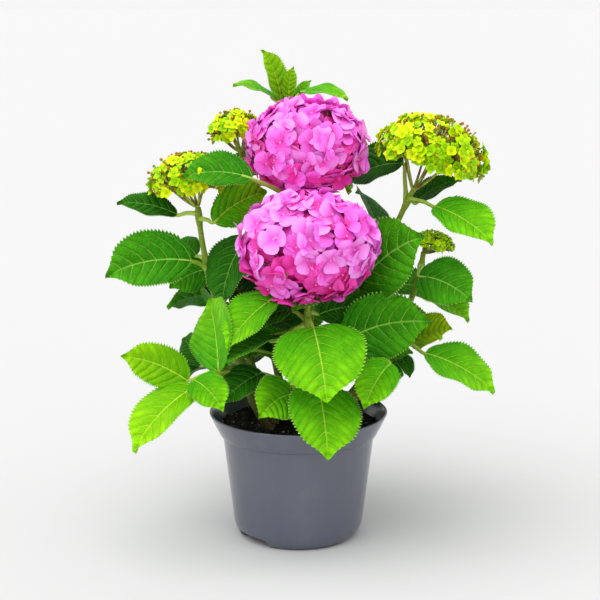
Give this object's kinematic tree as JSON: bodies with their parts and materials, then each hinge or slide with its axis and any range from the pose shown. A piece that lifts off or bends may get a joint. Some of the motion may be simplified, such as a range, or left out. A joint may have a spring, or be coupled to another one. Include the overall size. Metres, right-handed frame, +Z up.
{
  "type": "potted hydrangea shrub",
  "caption": "Bigleaf hydrangea in a round plastic nursery pot, with pink mophead blooms, young lime heads and bunches of broad toothed leaves on slender canes.",
  "frame": {"origin": "centre of the pot's flat underside, which stands on level ground", "axes": "+Z up; -Y is the plant's front, where the lower pink head leans out; +X is the plant's right as seen from the front"},
  "size_m": [0.3986, 0.342, 0.511],
  "materials": {
    "pot_plastic": "satin",
    "compost": "matte",
    "cane_bark": "matte",
    "leaf": "matte",
    "pink_petal": "matte",
    "lime_petal": "matte"
  },
  "bodies": {
    "root": {"back_leaves": "leaf", "back_left_leaves": "leaf", "back_right_leaves": "leaf", "behind_leaves": "leaf", "cane_back": "cane_bark", "cane_back_left": "cane_bark", "cane_back_right": "cane_bark", "cane_behind": "cane_bark", "cane_front": "cane_bark", "cane_left": "cane_bark", "cane_lower": "cane_bark", "cane_right": "cane_bark", "cane_side_left": "cane_bark", "cane_side_right": "cane_bark", "cane_top": "cane_bark", "cane_upper": "cane_bark", "cane_young": "cane_bark", "compost": "compost", "front_high_leaves": "leaf", "front_low_leaves": "leaf", "front_middle_leaves": "leaf", "inner_left_leaves": "leaf", "inner_right_leaves": "leaf", "inner_upper_leaves": "leaf", "left_high_leaves": "leaf", "left_low_leaves": "leaf", "left_wide_leaves": "leaf", "lime_head_back_left": "lime_petal", "lime_head_back_right": "lime_petal", "lime_head_behind": "lime_petal", "lime_head_left": "lime_petal", "lime_head_right": "lime_petal", "lime_head_young": "lime_petal", "pink_head_lower": "pink_petal", "pink_head_upper": "pink_petal", "pot": "pot_plastic", "right_high_leaves": "leaf", "right_low_leaves": "leaf", "right_middle_leaves": "leaf", "side_left_leaves": "leaf", "side_right_leaves": "leaf", "top_leaves": "leaf", "top_low_leaves": "leaf", "upper_leaves": "leaf"}
  },
  "joints": []
}
